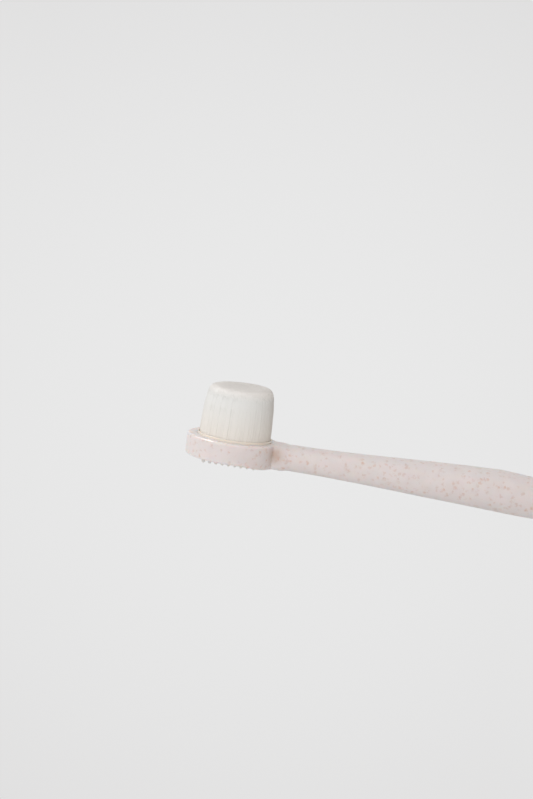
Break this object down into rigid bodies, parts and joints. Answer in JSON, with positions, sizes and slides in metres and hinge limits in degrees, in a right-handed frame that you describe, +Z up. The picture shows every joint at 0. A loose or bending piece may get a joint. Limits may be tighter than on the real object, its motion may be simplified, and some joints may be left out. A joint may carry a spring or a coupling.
{
  "type": "dog toothbrush",
  "caption": "Dog toothbrush with a round head, a dense block of fine bristles, a nubbed tongue-cleaning pad on the back of the head and a slim neck that grows into an oval grip.",
  "frame": {"origin": "centre of the brush's length and width, on the surface that the grip's flat land lies on", "axes": "+X along the handle from head to tail, +Y across the brush, +Z up, the way the bristles point"},
  "size_m": [0.165, 0.0224, 0.0211],
  "materials": {
    "straw_plastic": "satin pale pink plastic with scattered straw flecks",
    "ivory_plastic": "satin warm ivory plastic",
    "bristle_nylon": "very fine off-white nylon filaments with tapered tips",
    "soft_rubber": "matte off-white soft rubber"
  },
  "bodies": {
    "root": {"handle_body": "straw_plastic", "bristle_carrier": "ivory_plastic", "bristle_tuft": "bristle_nylon", "tongue_cleaner": "soft_rubber"}
  },
  "joints": []
}
